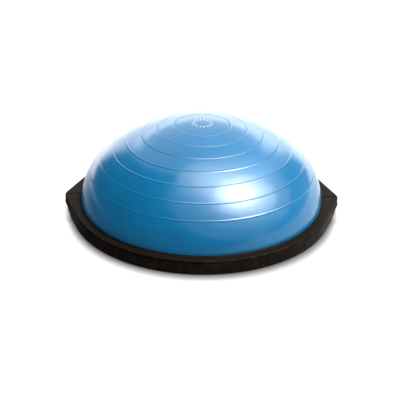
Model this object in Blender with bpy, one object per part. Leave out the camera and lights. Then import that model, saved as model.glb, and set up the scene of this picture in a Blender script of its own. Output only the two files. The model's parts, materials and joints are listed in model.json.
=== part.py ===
"""Half ball balance trainer: an inflated ribbed dome clamped in a moulded round platform with two ears.

Units are metres. The platform stands on the floor at z = 0, +Z is up, and the ears point along X.
"""

import math

import bmesh
import bpy
from mathutils import Matrix, Vector

# Fits
FIT_GAP = 0.0003  # between faces that touch on the real object
SCREW_CLEARANCE = 0.0003  # round a screw's shank and head
PLUG_CLEARANCE = 0.0001  # round the plug's stem, which slides
NECK_CLEARANCE = 0.0006  # between the collar and the dome's neck
SEAM_GAP = 0.0008  # between the two half rings, where they meet on the ears

# Outline of the platform, seen from above
RIM_RADIUS = 0.3171
EAR_SLOPE = math.radians(21.7)  # of each ear's straight flanks, from the Y axis
EAR_TIP_RADIUS = 0.034
RIM_FACETS = 30  # on the round stretch of half an outline
FLANK_FACETS = 5
TIP_FACETS = 8

# Platform base, a pan
FOOT_PROUD = 0.0020
DECK_THICKNESS = 0.0040
WALL_HEIGHT = 0.0263
WALL_THICKNESS = 0.0044
WALL_FLARE = 0.0029  # how far the wall's foot stands out past the rim's edge
WALL_FOOT_CHAMFER = 0.0006
WALL_TOP_SETBACK = 0.0006
SHADOW_GROOVE_DEPTH = 0.0016
SHADOW_GROOVE_HEIGHT = 0.0018
GRIP_GROOVE_RADII = (0.110, 0.220)
GRIP_GROOVE_WIDTH = 0.0050
GRIP_GROOVE_DEPTH = 0.0010
GRIP_GROOVE_FACETS = 32
WELD_BITE = 0.0010  # how far ribs, bosses and pockets run into what carries them

# Stiffening ribs inside the pan
RIB_THICKNESS = 0.0028
RIB_DROP = 0.0008  # how much lower the spokes are than the rings
SPOKE_COUNT = 16
HUB_RING_RADIUS = 0.045
MIDDLE_RING_RADIUS = 0.175
INNER_RING_FACETS = 20
SEAT_RING_FACETS = 40

# Finger pockets under the ears
POCKET_HALF_WIDTH = 0.0680
POCKET_WALL = 0.0025
POCKET_CORNER_RADIUS = 0.0032
POCKET_CORNER_FACETS = 3
POCKET_ROUND_FACETS = 4  # on half of the pocket's inner wall
POCKET_ROOF_DROP = 0.0007  # of the pocket's roof below the pan's top
POCKET_BITE = 0.0008  # how far the hollow is let into the wall's inner face
ARCH_HALF_WIDTH = 0.0660
ARCH_HEIGHT = 0.0140
ARCH_FACETS = 14

# Screws
SCREW_COUNT = 12
SCREW_RADIUS = 0.0020
SCREW_HEAD_RADIUS = 0.0042
SCREW_HEAD_HEIGHT = 0.0025
SCREW_SUNK = 0.0003  # the head's face above the deck's underside
SCREW_BITE = 0.0040  # of the screw's end into the half ring
SCREW_DRIVE_RADIUS = 0.0018
SCREW_DRIVE_DEPTH = 0.0014
SCREW_POINT_RADIUS = 0.0007
SCREW_HEAD_CHAMFER = 0.0006
BOSS_WALL = 0.0023
BOSS_EDGE_GAP = 0.0005  # between the bosses and the shadow groove's face
BOSS_BEAD_GAP = 0.0017  # between the bosses and the dome's bead
SCREW_FACETS = 8

# Half rings
RING_EDGE_THICKNESS = 0.0046
RING_EDGE_ROUND = 0.0022
COLLAR_RISE = 0.0032  # from the ring's edge up to its collar
COLLAR_ROUND = 0.0012
ROUND_STEPS = 2

# Dome
BEAD_WIDTH = 0.0065
BEAD_HEIGHT = 0.0070
BEAD_ROUND = 0.0008
BEAD_LET_IN = 0.0008  # how far the bead stands up into the half rings
DOME_CENTRE_DROP = 0.0100  # of the middle of the dome's curve below the collar's top: the dome leans in there
DOME_HEIGHT = 0.2265
DOME_WALL = 0.0032
BLADDER_FLOOR = 0.0025
RING_COUNT = 7
FIRST_RING_ARC = 0.0692  # along the dome, from its top to the first ring
LAST_RING_ARC = 0.0758  # along the dome, from the collar's top up to the last ring
RING_WIDTH = 0.0050
RING_PROUD = 0.0014
DOME_FACETS = 48
DOME_INSIDE_FACETS = 24
DOME_INSIDE_STEPS = 8
DOME_FACET_LENGTH = 0.0360  # aimed at between one ring and the next
ARC_STEP = math.radians(0.02)  # with which the dome's curve is walked

# Valve, low on the rear of the dome
VALVE_ARC = 0.0440  # along the dome, from the collar's top up to the valve
VALVE_SEAT_RADIUS = 0.0130
VALVE_SEAT_LENGTH = 0.0115
VALVE_LIP_WIDTH = 0.0030
VALVE_LIP_THICKNESS = 0.0020
PLUG_STEM_RADIUS = 0.0060
PLUG_STEM_LENGTH = 0.0150
PLUG_HEAD_LIP = 0.0035
PLUG_HEAD_THICKNESS = 0.0030
PLUG_BARB = 0.0010  # how much thinner the stem gets in each step towards its end
VALVE_FACETS = 20

# Rubber feet
FOOT_COUNT = 8
FOOT_INSET = 0.0351  # of the feet's circle from the rim's edge
FOOT_RADIUS = 0.0150
FOOT_RECESS = 0.0025
FOOT_ROUND = 0.0008
FOOT_FACETS = 16

# Levels that follow from the sizes above
DECK_BOTTOM = FOOT_PROUD
DECK_TOP = DECK_BOTTOM + DECK_THICKNESS
WALL_TOP = DECK_BOTTOM + WALL_HEIGHT
RING_BOTTOM = WALL_TOP + FIT_GAP
RING_EDGE_TOP = RING_BOTTOM + RING_EDGE_THICKNESS
COLLAR_TOP = RING_EDGE_TOP + COLLAR_RISE
BEAD_TOP = RING_BOTTOM + BEAD_LET_IN
BEAD_BOTTOM = BEAD_TOP - BEAD_HEIGHT
RIB_TOP = BEAD_BOTTOM - FIT_GAP
POCKET_CEILING = WALL_TOP - POCKET_ROOF_DROP - POCKET_WALL
SCREW_END = RING_BOTTOM + SCREW_BITE
DOME_CENTRE_HEIGHT = COLLAR_TOP - DOME_CENTRE_DROP
DOME_SEMI_HEIGHT = DOME_HEIGHT - DOME_CENTRE_HEIGHT
BELOW = -DECK_BOTTOM  # where cuts from below start

# Radii that follow, from the rim's edge inwards
BOSS_RADIUS = SCREW_RADIUS + SCREW_CLEARANCE + BOSS_WALL
SCREW_CIRCLE_RADIUS = RIM_RADIUS - WALL_TOP_SETBACK - SHADOW_GROOVE_DEPTH - BOSS_EDGE_GAP - BOSS_RADIUS
BEAD_RADIUS = SCREW_CIRCLE_RADIUS - BOSS_RADIUS - BOSS_BEAD_GAP
NECK_RADIUS = BEAD_RADIUS - BEAD_WIDTH
COLLAR_RADIUS = NECK_RADIUS + NECK_CLEARANCE
# The dome's curve meets the neck at the collar's top.
DOME_RADIUS = NECK_RADIUS / math.sqrt(1 - (DOME_CENTRE_DROP / DOME_SEMI_HEIGHT) ** 2)
SEAT_RING_RADIUS = NECK_RADIUS + (BEAD_WIDTH - RIB_THICKNESS) / 2
FOOT_CIRCLE_RADIUS = RIM_RADIUS - FOOT_INSET


def clear_scene():
    for thing in list(bpy.data.objects):
        bpy.data.objects.remove(thing)


def make_material(name, colour, roughness, metallic=0.0):
    material = bpy.data.materials.new(name)
    material.use_nodes = True
    shader = material.node_tree.nodes["Principled BSDF"]
    shader.inputs["Base Color"].default_value = (*colour, 1.0)
    shader.inputs["Roughness"].default_value = roughness
    shader.inputs["Metallic"].default_value = metallic
    return material


def make_object(name, mesh, material=None):
    piece = bpy.data.objects.new(name, mesh)
    bpy.context.scene.collection.objects.link(piece)
    if material is not None:
        mesh.materials.clear()
        mesh.materials.append(material)
    return piece


def finish_mesh(name, shape, sharp_degrees=35.0):
    """Turns a bmesh into a mesh whose round faces are smooth."""
    mesh = bpy.data.meshes.new(name)
    shape.to_mesh(mesh)
    shape.free()
    mesh.shade_smooth()
    mesh.set_sharp_from_angle(angle=math.radians(sharp_degrees))
    return mesh


def face_outwards(shape):
    bmesh.ops.recalc_face_normals(shape, faces=shape.faces)
    return shape


def add_boolean(piece, helper, operation):
    boolean = piece.modifiers.new(helper.name, "BOOLEAN")
    boolean.operation = operation
    boolean.object = helper
    boolean.solver = "EXACT"


def make_helper(name, mesh):
    """A hidden shape that only a Boolean uses."""
    helper = make_object(name, mesh)
    helper.hide_render = True
    helper.display_type = "WIRE"
    helper.hide_set(True)
    return helper


def circle_outline(centre, radius, facets):
    """Evenly spaced points, the first half a step round from the X direction."""
    angles = [2 * math.pi * (step + 0.5) / facets for step in range(facets)]
    return [(centre[0] + radius * math.cos(a), centre[1] + radius * math.sin(a)) for a in angles]


def on_a_circle(count, radius):
    """Evenly spaced places on a circle about the axis, none of them on the X or Y axis."""
    return circle_outline((0, 0), radius, count)


def turned(name, profile, facets):
    """A closed body turned about Z. The profile is a closed outline of (radius, z) points."""
    shape = bmesh.new()
    rows = turned_rows(shape, profile, facets)
    for lower, upper in zip(rows, rows[1:] + rows[:1]):
        join_rows(shape, lower, upper, facets)
    return finish_mesh(name, face_outwards(shape))


def turned_rows(shape, profile, facets):
    """One ring of vertices for each point of a profile, and a single vertex for a point on the axis."""
    rows = []
    for radius, height in profile:
        outline = circle_outline((0, 0), radius, facets) if radius else [(0, 0)]
        rows.append([shape.verts.new((x, y, height)) for x, y in outline])
    return rows


def join_rows(shape, lower, upper, facets):
    """Faces between two rings of vertices, either of which may be a single vertex."""
    for step in range(facets):
        after = (step + 1) % facets
        corners = [
            lower[step % len(lower)],
            lower[after % len(lower)],
            upper[after % len(upper)],
            upper[step % len(upper)],
        ]
        unique = list(dict.fromkeys(corners))
        if len(unique) > 2:
            shape.faces.new(unique)


def prism(shape, outline, bottom, top):
    """Adds an upright block with the given outline of (x, y) points to a bmesh."""
    lower = [shape.verts.new((x, y, bottom)) for x, y in outline]
    upper = [shape.verts.new((x, y, top)) for x, y in outline]
    shape.faces.new(list(reversed(lower)))
    shape.faces.new(upper)
    for index in range(len(outline)):
        after = (index + 1) % len(outline)
        shape.faces.new((lower[index], lower[after], upper[after], upper[index]))


def columns_mesh(name, places, radius, bottom, top, facets):
    """Upright round columns, all in one mesh."""
    shape = bmesh.new()
    for place in places:
        prism(shape, circle_outline(place, radius, facets), bottom, top)
    return finish_mesh(name, face_outwards(shape))


def washers_mesh(name, washers, bottom, top):
    """Flat rings with one bottom and top, each given as (inner radius, outer radius, facets)."""
    shape = bmesh.new()
    for inner, outer, facets in washers:
        profile = [(inner, bottom), (outer, bottom), (outer, top), (inner, top)]
        rows = turned_rows(shape, profile, facets)
        for lower, upper in zip(rows, rows[1:] + rows[:1]):
            join_rows(shape, lower, upper, facets)
    return finish_mesh(name, face_outwards(shape))


def tip_stations(tip_radius):
    """Points and normals of the ear's tip at +X, from its middle round to where the flank starts."""
    tip_centre = Vector(((RIM_RADIUS - EAR_TIP_RADIUS) / math.cos(EAR_SLOPE), 0))
    steps = TIP_FACETS // 2
    turns = [EAR_SLOPE * step / steps for step in range(steps + 1)]
    normals = [Vector((math.cos(turn), math.sin(turn))) for turn in turns]
    return [(tip_centre + tip_radius * normal, normal) for normal in normals]


def half_outline():
    """Points and outward normals of the rear half of the rim's outline, from the tip at +X to the tip at -X."""
    quarter = tip_stations(EAR_TIP_RADIUS)
    start, normal = quarter[-1]
    end = RIM_RADIUS * normal
    for step in range(1, FLANK_FACETS + 1):
        quarter.append((start.lerp(end, step / FLANK_FACETS), normal))
    round_stretch = []
    for step in range(1, RIM_FACETS):
        turn = EAR_SLOPE + (math.pi - 2 * EAR_SLOPE) * step / RIM_FACETS
        normal = Vector((math.cos(turn), math.sin(turn)))
        round_stretch.append((RIM_RADIUS * normal, normal))
    mirrored = [(Vector((-p.x, p.y)), Vector((-n.x, n.y))) for p, n in reversed(quarter)]
    return quarter + round_stretch + mirrored


def full_outline():
    rear = half_outline()
    front = [(-point, -normal) for point, normal in rear[1:-1]]
    return rear + front


def on_outline(station, offset, height):
    """A point at a distance outside the rim's outline."""
    point, normal = station
    place = point + offset * normal
    return (place.x, place.y, height)


def on_circle(station, radius, height):
    """A point on a circle about the axis, in the direction of an outline point."""
    direction = station[0].normalized()
    return (radius * direction.x, radius * direction.y, height)


def rounding(radius):
    """How far in and down each point of a rounded edge lies, from the side face up to the top face."""
    turns = [math.pi / 2 * step / ROUND_STEPS for step in range(ROUND_STEPS + 1)]
    return [(radius * (1 - math.cos(turn)), radius * (1 - math.sin(turn))) for turn in turns]


def dome_angle_at_height(height):
    return math.acos((height - DOME_CENTRE_HEIGHT) / DOME_SEMI_HEIGHT)


def dome_point(angle, outward=0.0):
    """A point of the dome's curve at an angle down from its top, moved along the curve's normal."""
    radius = DOME_RADIUS * math.sin(angle)
    height = DOME_CENTRE_HEIGHT + DOME_SEMI_HEIGHT * math.cos(angle)
    normal = Vector((math.sin(angle) / DOME_RADIUS, math.cos(angle) / DOME_SEMI_HEIGHT)).normalized()
    return (radius + outward * normal.x, height + outward * normal.y)


def arc_speed(angle):
    return math.hypot(DOME_RADIUS * math.cos(angle), DOME_SEMI_HEIGHT * math.sin(angle))


def dome_arc_at(angle):
    """The length of the dome's curve from its top to an angle."""
    steps = round(angle / ARC_STEP)
    return sum(arc_speed(angle * (step + 0.5) / steps) for step in range(steps)) * angle / steps


def dome_angle_at_arc(arc):
    """The angle at which the dome's curve, walked from its top, reaches a length."""
    walked = 0.0
    angle = 0.0
    while walked < arc:
        walked += arc_speed(angle + ARC_STEP / 2) * ARC_STEP
        angle += ARC_STEP
    return angle - (walked - arc) / arc_speed(angle)


def ring_arcs():
    """The rings' places along the dome, evenly spaced from the first to the last."""
    last = dome_arc_at(dome_angle_at_height(COLLAR_TOP)) - LAST_RING_ARC
    spacing = (last - FIRST_RING_ARC) / (RING_COUNT - 1)
    return [FIRST_RING_ARC + spacing * index for index in range(RING_COUNT)]


def plain_stretch(lower, upper):
    """Points of the dome's curve between two places along it, without its ends."""
    steps = max(1, round((lower - upper) / DOME_FACET_LENGTH))
    arcs = [lower + (upper - lower) * step / steps for step in range(1, steps)]
    return [dome_point(dome_angle_at_arc(arc)) for arc in arcs]


def dome_skin_points():
    """The dome's outside from the collar's top to its own top, with each raised ring as a low ridge."""
    lowest = dome_arc_at(dome_angle_at_height(COLLAR_TOP))
    points = [(NECK_RADIUS, COLLAR_TOP)]
    below = lowest
    for arc in reversed(ring_arcs()):
        lower_edge, upper_edge = arc + RING_WIDTH / 2, arc - RING_WIDTH / 2
        points += plain_stretch(below, lower_edge)
        points.append(dome_point(dome_angle_at_arc(lower_edge)))
        points.append(dome_point(dome_angle_at_arc(arc), RING_PROUD))
        points.append(dome_point(dome_angle_at_arc(upper_edge)))
        below = upper_edge
    return points + plain_stretch(below, 0) + [(0, DOME_HEIGHT)]


def dome_inside_points():
    """The dome's inside, from its top down to the floor."""
    floor_top = BEAD_BOTTOM + BLADDER_FLOOR
    inner_radius = NECK_RADIUS - DOME_WALL
    lowest = dome_angle_at_height(COLLAR_TOP)
    points = [(0, DOME_HEIGHT - DOME_WALL)]
    for step in range(1, DOME_INSIDE_STEPS + 1):
        points.append(dome_point(lowest * step / DOME_INSIDE_STEPS, -DOME_WALL))
    points.append((inner_radius, floor_top))
    points.append((0, floor_top))
    return points


def valve_matrix():
    """The valve's place on the dome's skin, with its Z axis pointing straight out of it."""
    lowest = dome_arc_at(dome_angle_at_height(COLLAR_TOP))
    angle = dome_angle_at_arc(lowest - VALVE_ARC)
    radius, height = dome_point(angle)
    outer_radius, outer_height = dome_point(angle, 1.0)
    outward = Vector((0, outer_radius - radius, outer_height - height))
    turn = outward.to_track_quat("Z", "Y").to_matrix().to_4x4()
    return Matrix.Translation((0, radius, height)) @ turn


def make_dome(material):
    """Two turned skins that each start and end on the axis, with the valve's hole through the outer one."""
    bead = [
        (0, BEAD_BOTTOM),
        (BEAD_RADIUS - BEAD_ROUND, BEAD_BOTTOM),
        (BEAD_RADIUS, BEAD_BOTTOM + BEAD_ROUND),
        (BEAD_RADIUS, BEAD_TOP - BEAD_ROUND),
        (BEAD_RADIUS - BEAD_ROUND, BEAD_TOP),
        (NECK_RADIUS, BEAD_TOP),
    ]
    outside = bead + dome_skin_points()
    shape = bmesh.new()
    for skin, facets in ((outside, DOME_FACETS), (dome_inside_points(), DOME_INSIDE_FACETS)):
        rows = turned_rows(shape, skin, facets)
        for lower, upper in zip(rows, rows[1:]):
            join_rows(shape, lower, upper, facets)
    dome = make_object("dome_bladder", finish_mesh("dome_bladder", shape), material)
    hole_radius = VALVE_SEAT_RADIUS + FIT_GAP
    inner_end, outer_end = -2 * VALVE_SEAT_LENGTH, VALVE_SEAT_LENGTH
    profile = [(0, inner_end), (hole_radius, inner_end), (hole_radius, outer_end), (0, outer_end)]
    hole = make_helper("valve_hole", turned("valve_hole", profile, VALVE_FACETS))
    hole.matrix_world = valve_matrix()
    add_boolean(dome, hole, "DIFFERENCE")


def make_valve(seat_material, plug_material):
    bore = PLUG_STEM_RADIUS + PLUG_CLEARANCE
    lip_radius = VALVE_SEAT_RADIUS + VALVE_LIP_WIDTH
    lip_bottom = FIT_GAP
    lip_top = lip_bottom + VALVE_LIP_THICKNESS
    seat_profile = [
        (bore, lip_top - VALVE_SEAT_LENGTH),
        (VALVE_SEAT_RADIUS, lip_top - VALVE_SEAT_LENGTH),
        (VALVE_SEAT_RADIUS, lip_bottom),
        (lip_radius, lip_bottom),
        (lip_radius, lip_bottom + VALVE_LIP_THICKNESS / 2),
        (lip_radius - VALVE_LIP_THICKNESS, lip_top),
        (bore, lip_top),
    ]
    seat = make_object("valve_seat", turned("valve_seat", seat_profile, VALVE_FACETS), seat_material)
    seat.matrix_world = valve_matrix()
    head_radius = PLUG_STEM_RADIUS + PLUG_HEAD_LIP
    head_bottom = lip_top + FIT_GAP
    head_top = head_bottom + PLUG_HEAD_THICKNESS
    stem_end = head_bottom - PLUG_STEM_LENGTH
    plug_profile = [
        (0, stem_end),
        (PLUG_STEM_RADIUS - 2 * PLUG_BARB, stem_end),
        (PLUG_STEM_RADIUS - PLUG_BARB, stem_end + PLUG_BARB),
        (PLUG_STEM_RADIUS, stem_end + 3 * PLUG_BARB),
        (PLUG_STEM_RADIUS, head_bottom),
        (head_radius, head_bottom),
        (head_radius, head_top - PLUG_BARB),
        (head_radius - PLUG_BARB, head_top),
        (0, head_top),
    ]
    plug = make_object("valve_plug", turned("valve_plug", plug_profile, VALVE_FACETS), plug_material)
    plug.matrix_world = valve_matrix()


def ring_section(station):
    """One section of a half ring, from the collar's foot round its edge to the collar's top."""
    recess_radius = BEAD_RADIUS + FIT_GAP
    recess_top = BEAD_TOP + FIT_GAP
    section = [
        on_circle(station, COLLAR_RADIUS, recess_top),
        on_circle(station, recess_radius, recess_top),
        on_circle(station, recess_radius, RING_BOTTOM),
        on_outline(station, 0, RING_BOTTOM),
    ]
    for inward, down in rounding(RING_EDGE_ROUND):
        section.append(on_outline(station, -inward, RING_EDGE_TOP - down))
    for inward, down in reversed(rounding(COLLAR_ROUND)):
        section.append(on_circle(station, COLLAR_RADIUS + inward, COLLAR_TOP - down))
    return section


def make_half_rings(material):
    """Both half rings are one loft from seam to seam, and the front one is the rear one turned round."""
    shape = bmesh.new()
    rows = []
    for station in half_outline():
        points = [(x, max(y, SEAM_GAP / 2), z) for x, y, z in ring_section(station)]
        rows.append([shape.verts.new(point) for point in points])
    for row, following in zip(rows, rows[1:]):
        for index in range(len(row)):
            after = (index + 1) % len(row)
            shape.faces.new((row[index], following[index], following[after], row[after]))
    shape.faces.new(rows[0])
    shape.faces.new(list(reversed(rows[-1])))
    mesh = finish_mesh("rim_rear", face_outwards(shape))
    holes = columns_mesh(
        "ring_screw_holes",
        on_a_circle(SCREW_COUNT, SCREW_CIRCLE_RADIUS),
        SCREW_RADIUS + SCREW_CLEARANCE,
        RING_BOTTOM - SCREW_BITE,
        SCREW_END + FIT_GAP,
        SCREW_FACETS,
    )
    helper = make_helper("ring_screw_holes", holes)
    for name, turn in (("rim_rear", 0.0), ("rim_front", math.pi)):
        half = make_object(name, mesh, material)
        half.rotation_euler = (0, 0, turn)
        add_boolean(half, helper, "DIFFERENCE")


def pan_section(station):
    """One section of the pan from the deck's underside out, up the wall and back over the deck."""
    deck_edge = SEAT_RING_RADIUS - 2 * RIB_THICKNESS
    groove_bottom = WALL_TOP - SHADOW_GROOVE_HEIGHT
    groove_face = -WALL_TOP_SETBACK - SHADOW_GROOVE_DEPTH
    return [
        on_circle(station, deck_edge, DECK_BOTTOM),
        on_outline(station, WALL_FLARE - WALL_FOOT_CHAMFER, DECK_BOTTOM),
        on_outline(station, WALL_FLARE, DECK_BOTTOM + WALL_FOOT_CHAMFER),
        on_outline(station, -WALL_TOP_SETBACK, groove_bottom),
        on_outline(station, groove_face, groove_bottom),
        on_outline(station, groove_face, WALL_TOP),
        on_outline(station, -WALL_TOP_SETBACK - WALL_THICKNESS, WALL_TOP),
        on_outline(station, WALL_FLARE - WALL_THICKNESS, DECK_TOP),
        on_circle(station, deck_edge, DECK_TOP),
    ]


def pan_mesh():
    """The pan's deck and wall as one skin, before its ribs, pockets and holes."""
    shape = bmesh.new()
    rows = [[shape.verts.new(point) for point in pan_section(s)] for s in full_outline()]
    for row, following in zip(rows, rows[1:] + rows[:1]):
        for lower, upper in zip(range(len(row) - 1), range(1, len(row))):
            shape.faces.new((row[lower], following[lower], following[upper], row[upper]))
    shape.faces.new([row[0] for row in reversed(rows)])
    shape.faces.new([row[-1] for row in rows])
    return finish_mesh("platform_base", face_outwards(shape))


def rib_rings_mesh():
    """The upright ring walls that the bladder's floor and bead rest on."""
    rings = [
        (HUB_RING_RADIUS, HUB_RING_RADIUS + RIB_THICKNESS, INNER_RING_FACETS),
        (MIDDLE_RING_RADIUS, MIDDLE_RING_RADIUS + RIB_THICKNESS, INNER_RING_FACETS),
        (SEAT_RING_RADIUS, SEAT_RING_RADIUS + RIB_THICKNESS, SEAT_RING_FACETS),
    ]
    return washers_mesh("rib_rings", rings, DECK_TOP - 2 * WELD_BITE, RIB_TOP)


def spokes_mesh():
    """Straight ribs from the hub ring out to the seat ring."""
    shape = bmesh.new()
    start = HUB_RING_RADIUS + RIB_THICKNESS / 2
    end = SEAT_RING_RADIUS + RIB_THICKNESS / 2
    half = RIB_THICKNESS / 2
    for x, y in on_a_circle(SPOKE_COUNT, 1.0):
        along, across = Vector((x, y)), Vector((-y, x))
        outline = [
            start * along - half * across,
            end * along - half * across,
            end * along + half * across,
            start * along + half * across,
        ]
        prism(shape, outline, DECK_TOP - WELD_BITE, RIB_TOP - RIB_DROP)
    return finish_mesh("spokes", face_outwards(shape))


def rounded_corner(before, corner, after, radius):
    """Points that replace a sharp corner of an outline by an arc."""
    towards_before = (before - corner).normalized()
    towards_after = (after - corner).normalized()
    half_opening = towards_before.angle(towards_after) / 2
    reach = radius / math.tan(half_opening)
    centre = corner + (towards_before + towards_after).normalized() * radius / math.sin(half_opening)
    start = corner + reach * towards_before - centre
    end = corner + reach * towards_after - centre
    shares = [step / POCKET_CORNER_FACETS for step in range(POCKET_CORNER_FACETS + 1)]
    return [centre + radius * start.lerp(end, share).normalized() for share in shares]


def pocket_outline(grown, offset):
    """The finger pocket's outline under the ear at +X: round the bead inside, along the ear's flanks outside."""
    inner_radius = BEAD_RADIUS + 2 * FIT_GAP + POCKET_WALL - grown
    half_width = POCKET_HALF_WIDTH + grown
    half_turn = math.asin(half_width / inner_radius)
    turns = [half_turn * step / POCKET_ROUND_FACETS for step in range(POCKET_ROUND_FACETS - 1, -1, -1)]
    inside = [Vector((inner_radius * math.cos(turn), inner_radius * math.sin(turn))) for turn in turns]
    tip = [point for point, normal in tip_stations(EAR_TIP_RADIUS + offset)]
    inner = Vector((inner_radius * math.cos(half_turn), half_width))
    outer = Vector(((RIM_RADIUS + offset - half_width * math.sin(EAR_SLOPE)) / math.cos(EAR_SLOPE), half_width))
    radius = min(POCKET_CORNER_RADIUS, (outer.x - inner.x) / 3)
    corners = rounded_corner(tip[-1], outer, inner, radius) + rounded_corner(outer, inner, inside[0], radius)
    upper = tip + corners + inside
    lower = [Vector((p.x, -p.y)) for p in reversed(upper[1:-1])]
    return lower + upper


def pockets_mesh(name, grown, bite, bottom, top):
    """Both finger pockets: grown by the pocket's wall they are the blocks, and not grown the hollows."""
    shape = bmesh.new()
    outline = pocket_outline(grown, bite - WALL_TOP_SETBACK - WALL_THICKNESS)
    prism(shape, outline, bottom, top)
    prism(shape, [-point for point in outline], bottom, top)
    return finish_mesh(name, face_outwards(shape))


def arches_mesh():
    """The low arches through the ears' flanks, as bars along X with an arched top."""
    shape = bmesh.new()
    turns = [math.pi * step / ARCH_FACETS for step in range(1, ARCH_FACETS)]
    arch = [(ARCH_HALF_WIDTH, BELOW), (ARCH_HALF_WIDTH, 0)]
    arch += [(ARCH_HALF_WIDTH * math.cos(t), ARCH_HEIGHT * math.sin(t)) for t in turns]
    arch += [(-ARCH_HALF_WIDTH, 0), (-ARCH_HALF_WIDTH, BELOW)]
    inner_x = BEAD_RADIUS + 2 * FIT_GAP + 2 * POCKET_WALL
    outer_x = RIM_RADIUS / math.cos(EAR_SLOPE) + WALL_FLARE
    for side in (1, -1):
        ends = []
        for x in (inner_x, outer_x):
            ends.append([shape.verts.new((side * x, y, z)) for y, z in arch])
        shape.faces.new(ends[0])
        shape.faces.new(list(reversed(ends[1])))
        for index in range(len(arch)):
            after = (index + 1) % len(arch)
            shape.faces.new((ends[0][index], ends[1][index], ends[1][after], ends[0][after]))
    return finish_mesh("finger_arches", face_outwards(shape))


def make_platform_base(material):
    """The pan, with its ribs, bosses and pocket blocks joined on and its hollows and holes cut."""
    base = make_object("platform_base", pan_mesh(), material)
    screws = on_a_circle(SCREW_COUNT, SCREW_CIRCLE_RADIUS)
    feet = on_a_circle(FOOT_COUNT, FOOT_CIRCLE_RADIUS)
    sunk = DECK_TOP - 2 * WELD_BITE
    boss_top = WALL_TOP - FIT_GAP
    block_top = POCKET_CEILING + POCKET_WALL
    hole_radius = SCREW_RADIUS + SCREW_CLEARANCE
    sink_radius = SCREW_HEAD_RADIUS + SCREW_CLEARANCE
    sink_top = DECK_BOTTOM + SCREW_SUNK + SCREW_HEAD_HEIGHT + FIT_GAP
    recess_top = DECK_BOTTOM + FOOT_RECESS + FIT_GAP
    grooves = [(r, r + GRIP_GROOVE_WIDTH, GRIP_GROOVE_FACETS) for r in GRIP_GROOVE_RADII]
    joined = [
        rib_rings_mesh(),
        spokes_mesh(),
        columns_mesh("screw_bosses", screws, BOSS_RADIUS, sunk, boss_top, SCREW_FACETS),
        pockets_mesh("pocket_blocks", POCKET_WALL, POCKET_BITE + WELD_BITE, sunk, block_top),
    ]
    cut = [
        pockets_mesh("pocket_hollows", 0.0, POCKET_BITE, BELOW, POCKET_CEILING),
        arches_mesh(),
        columns_mesh("deck_screw_holes", screws, hole_radius, BELOW, RING_EDGE_TOP, SCREW_FACETS),
        columns_mesh("screw_head_sinks", screws, sink_radius, BELOW, sink_top, SCREW_FACETS),
        columns_mesh("foot_recesses", feet, FOOT_RADIUS + FIT_GAP, BELOW, recess_top, FOOT_FACETS),
        washers_mesh("grip_grooves", grooves, BELOW, DECK_BOTTOM + GRIP_GROOVE_DEPTH),
    ]
    for mesh in joined:
        add_boolean(base, make_helper(mesh.name, mesh), "UNION")
    for mesh in cut:
        add_boolean(base, make_helper(mesh.name, mesh), "DIFFERENCE")


def make_screws(material):
    head_bottom = DECK_BOTTOM + SCREW_SUNK
    head_top = head_bottom + SCREW_HEAD_HEIGHT
    profile = [
        (0, head_bottom + SCREW_DRIVE_DEPTH),
        (SCREW_DRIVE_RADIUS, head_bottom + SCREW_DRIVE_DEPTH),
        (SCREW_DRIVE_RADIUS, head_bottom),
        (SCREW_HEAD_RADIUS - SCREW_HEAD_CHAMFER, head_bottom),
        (SCREW_HEAD_RADIUS, head_bottom + SCREW_HEAD_CHAMFER),
        (SCREW_HEAD_RADIUS, head_top),
        (SCREW_RADIUS, head_top),
        (SCREW_RADIUS, SCREW_END - SCREW_RADIUS),
        (SCREW_POINT_RADIUS, SCREW_END),
        (0, SCREW_END),
    ]
    mesh = turned("rim_screw", profile, SCREW_FACETS)
    for index, (x, y) in enumerate(on_a_circle(SCREW_COUNT, SCREW_CIRCLE_RADIUS), start=1):
        screw = make_object(f"rim_screw_{index:02d}", mesh, material)
        screw.location = (x, y, 0)


def make_feet(material):
    foot_top = DECK_BOTTOM + FOOT_RECESS
    profile = [
        (0, 0),
        (FOOT_RADIUS - FOOT_ROUND, 0),
        (FOOT_RADIUS, FOOT_ROUND),
        (FOOT_RADIUS, foot_top),
        (0, foot_top),
    ]
    mesh = turned("foot", profile, FOOT_FACETS)
    for index, (x, y) in enumerate(on_a_circle(FOOT_COUNT, FOOT_CIRCLE_RADIUS), start=1):
        foot = make_object(f"foot_{index:02d}", mesh, material)
        foot.location = (x, y, 0)


def main():
    clear_scene()
    blue_vinyl = make_material("blue_vinyl", (0.020, 0.230, 0.520), 0.28)
    black_plastic = make_material("black_plastic", (0.022, 0.019, 0.017), 0.45)
    pale_vinyl = make_material("pale_vinyl", (0.55, 0.60, 0.62), 0.40)
    black_rubber = make_material("black_rubber", (0.015, 0.015, 0.015), 0.85)
    zinc_steel = make_material("zinc_steel", (0.55, 0.55, 0.56), 0.35, 1.0)
    make_dome(blue_vinyl)
    make_valve(blue_vinyl, pale_vinyl)
    make_half_rings(black_plastic)
    make_platform_base(black_plastic)
    make_screws(zinc_steel)
    make_feet(black_rubber)


main()
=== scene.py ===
"""Looks of the half ball balance trainer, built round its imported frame. Units are metres."""

import json
import math

import bmesh
import bpy
from mathutils import Matrix, Vector


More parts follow.
